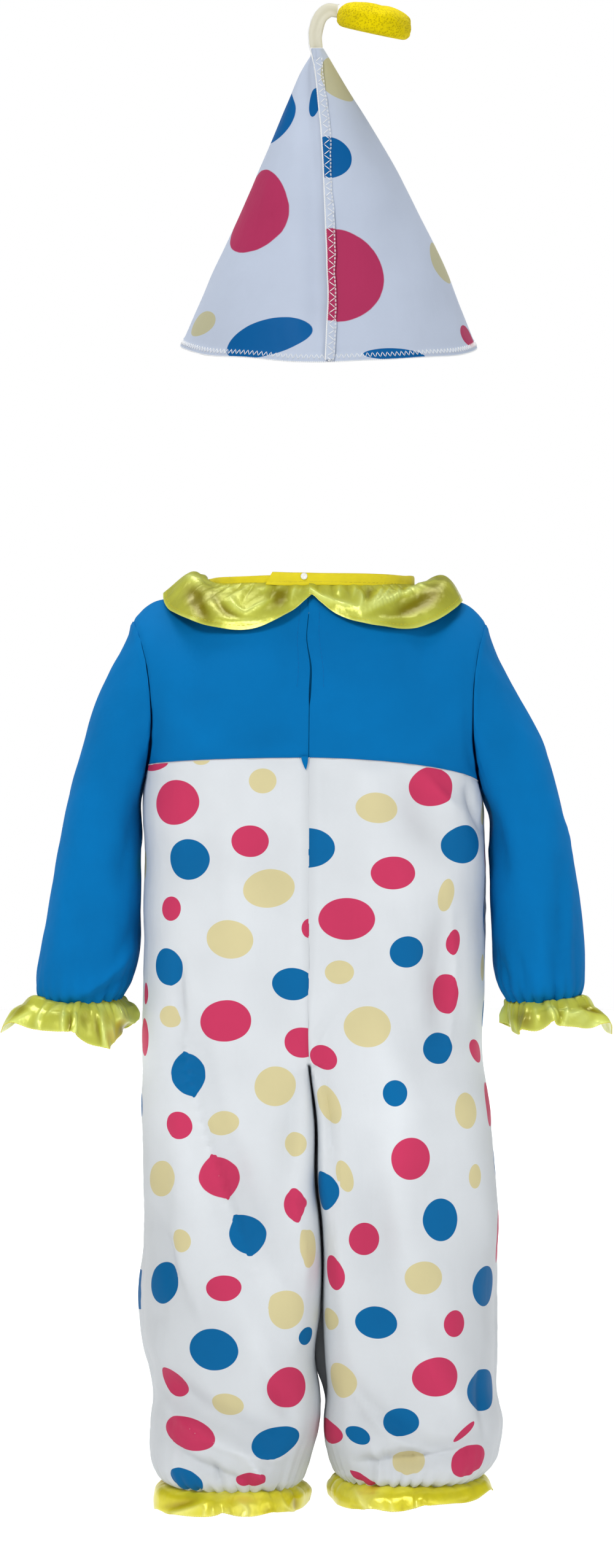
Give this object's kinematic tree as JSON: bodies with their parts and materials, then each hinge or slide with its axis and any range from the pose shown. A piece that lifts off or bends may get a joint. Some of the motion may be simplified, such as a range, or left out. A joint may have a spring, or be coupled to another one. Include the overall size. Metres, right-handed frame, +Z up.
{
  "type": "clown costume",
  "caption": "Toddler's hollow worn jumpsuit with blue yoke and sleeves, dotted trousers and satin frills, and a pointed dotted hat with a foam tip.",
  "frame": {"origin": "middle of the neck at shoulder height, where the wearer's shoulders carry the costume", "axes": "+Z up; the back of the costume faces -Y and the front +Y; +X is the wearer's right"},
  "size_m": [0.3579, 0.1701, 0.8775],
  "materials": {
    "blue_cloth": "matte smooth polyester",
    "dotted_cloth": "white polyester with red, blue and pale yellow dots",
    "satin": "glossy lime yellow satin",
    "binding": "matte bright yellow binding",
    "foam": "soft matte yellow foam",
    "snap": "white moulded plastic"
  },
  "bodies": {
    "root": {"hat_cone": "dotted_cloth", "hat_seam": "dotted_cloth", "hat_tip": "dotted_cloth", "hat_foam": "foam", "neck_band": "binding", "neck_snap": "snap", "collar_frill": "satin", "back_yoke_left": "blue_cloth", "back_yoke_right": "blue_cloth", "front_yoke": "blue_cloth", "sleeve_left": "blue_cloth", "sleeve_right": "blue_cloth", "cuff_frill_left": "satin", "cuff_frill_right": "satin", "trouser_back_left": "dotted_cloth", "trouser_back_right": "dotted_cloth", "trouser_front_left": "dotted_cloth", "trouser_front_right": "dotted_cloth", "ankle_frill_left": "satin", "ankle_frill_right": "satin"}
  },
  "joints": []
}
